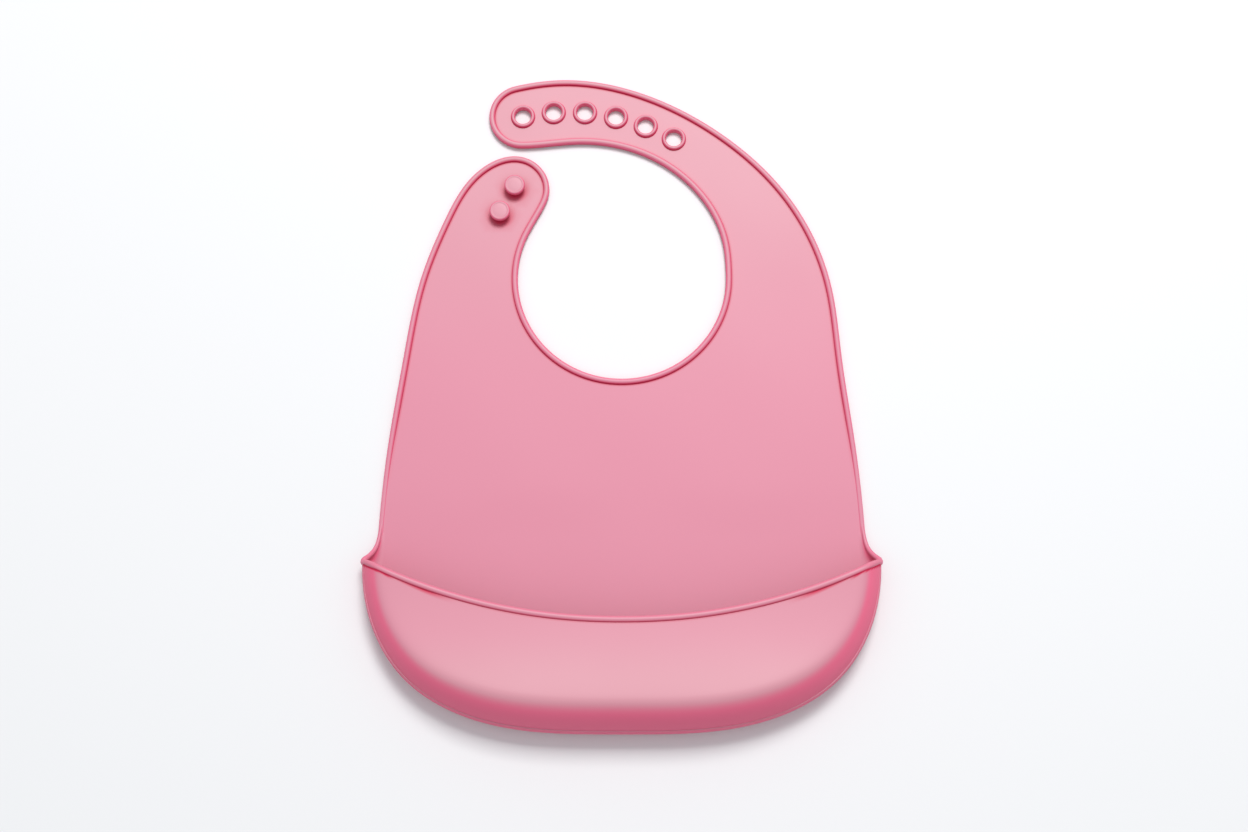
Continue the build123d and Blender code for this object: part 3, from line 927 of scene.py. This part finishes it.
# Each piece's joint, and half the length that bends.
BENDS = {
    "long_strap_root": ("hole_strap_flex_1", 12), "long_strap_shoulder": ("hole_strap_flex_2", 11),
    "long_strap_middle": ("hole_strap_flex_3", 9), "long_strap_end": ("hole_strap_flex_4", 10),
    "short_strap_root": ("stud_strap_flex_1", 7), "short_strap_end": ("stud_strap_flex_2", 7),
}
bodies = frame["record"]["behaviour"]["bodies"]


def bend(piece, joint_name, half):
    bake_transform(piece)


for name, (joint_name, half) in BENDS.items():
    bend(sheet_pieces[name], joint_name, half)
    stretch = bodies[joints[joint_name]["child"]]
    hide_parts(*[n for n in stretch if n.endswith(("panel", "bead"))])
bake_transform(sheet_pieces["apron"])
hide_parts("lower_panel", "lower_bead_left", "lower_bead_right", "upper_panel",
            "upper_bead_left", "upper_bead_right", "neck_bead")

LAST_EYELET_X = 15.0         # eyelets left of this are in the long strap's last piece
for name, ring in rings.items():
    last = EYELETS[name].x < LAST_EYELET_X
    bend(ring, *BENDS["long_strap_end" if last else "long_strap_middle"])
    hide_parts(name)
for name, piece in studs.items():
    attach(piece, "stud_strap_2")
    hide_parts(name)

for piece in (wall_piece, rim_piece, ridge_piece):
    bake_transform(piece)
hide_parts("pocket_front_wall", "pocket_side_left", "pocket_side_right", "pocket_flex_web")
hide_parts("pocket_rim", "pocket_ear_left", "pocket_ear_right")
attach(low_piece, "apron_lower")
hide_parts("pocket_base")
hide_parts("parting_ridge")


# ---------------------------------------------------------------- table, light and camera
# Places and sizes here are in metres.
TABLE_REACH = 20.0
TABLE_DROP = 0.00005         # the tabletop lies this far under the bib
TABLE_WHITE = (0.762, 0.77, 0.782, 1)
TABLE_ROUGHNESS = 0.6
KEY_PLACE = (0.24, 1.13, 2.00)
KEY_SIZE = (0.85, 0.75)
KEY_POWER = 40
KEY_COLOUR = (1.0, 0.985, 0.97)
SKY_COLOUR = (0.95, 0.97, 1.0, 1)
SKY_LOW = 0.26               # strength at the horizon and overhead
SKY_HIGH = 0.84
CAMERA_PLACE = (0.001, -0.170, 0.7558)
CAMERA_TILT = math.radians(12)
CAMERA_LENS = 49.04
CAMERA_SENSOR = 36


def add_object(name, data):
    obj = bpy.data.objects.new(name, data)
    bpy.context.scene.collection.objects.link(obj)
    return obj


def table():
    """A pale tabletop that runs past the picture."""
    mesh = bpy.data.meshes.new("table")
    sides = ((-1, -1), (1, -1), (1, 1), (-1, 1))
    mesh.from_pydata([(x * TABLE_REACH, y * TABLE_REACH, -TABLE_DROP) for x, y in sides], [], [(0, 1, 2, 3)])
    material = bpy.data.materials.new("table_white")
    material.use_nodes = True
    shader = material.node_tree.nodes["Principled BSDF"]
    shader.inputs["Base Color"].default_value = TABLE_WHITE
    shader.inputs["Roughness"].default_value = TABLE_ROUGHNESS
    mesh.materials.append(material)
    add_object("table", mesh)


def key_light():
    """One large soft light, behind the straps and to the right, that faces the bib."""
    light = bpy.data.lights.new("key", "AREA")
    light.shape = "RECTANGLE"
    light.size, light.size_y = KEY_SIZE
    light.energy = KEY_POWER
    light.color = KEY_COLOUR
    obj = add_object("key", light)
    obj.location = KEY_PLACE
    obj.rotation_euler = (-Vector(KEY_PLACE)).to_track_quat("-Z", "Y").to_euler()


def studio_sky():
    """Soft light that is brightest overhead."""
    world = bpy.data.worlds.new("studio")
    world.use_nodes = True
    nodes, links = world.node_tree.nodes, world.node_tree.links
    place = nodes.new("ShaderNodeTexCoord")
    split = nodes.new("ShaderNodeSeparateXYZ")
    links.new(place.outputs["Generated"], split.inputs["Vector"])
    strength = nodes.new("ShaderNodeMapRange")
    strength.inputs["To Min"].default_value = SKY_LOW
    strength.inputs["To Max"].default_value = SKY_HIGH
    links.new(split.outputs["Z"], strength.inputs["Value"])
    sky = nodes["Background"]
    sky.inputs["Color"].default_value = SKY_COLOUR
    links.new(strength.outputs["Result"], sky.inputs["Strength"])
    bpy.context.scene.world = world


def photo_camera():
    """The camera, nearly straight above."""
    lens = bpy.data.cameras.new("camera")
    lens.sensor_width = CAMERA_SENSOR
    lens.lens = CAMERA_LENS
    obj = add_object("camera", lens)
    obj.location = CAMERA_PLACE
    obj.rotation_euler = (CAMERA_TILT, 0, 0)
    bpy.context.scene.camera = obj


table()
key_light()
studio_sky()
photo_camera()
bpy.context.scene.view_settings.view_transform = "Standard"

bpy.context.view_layer.update()
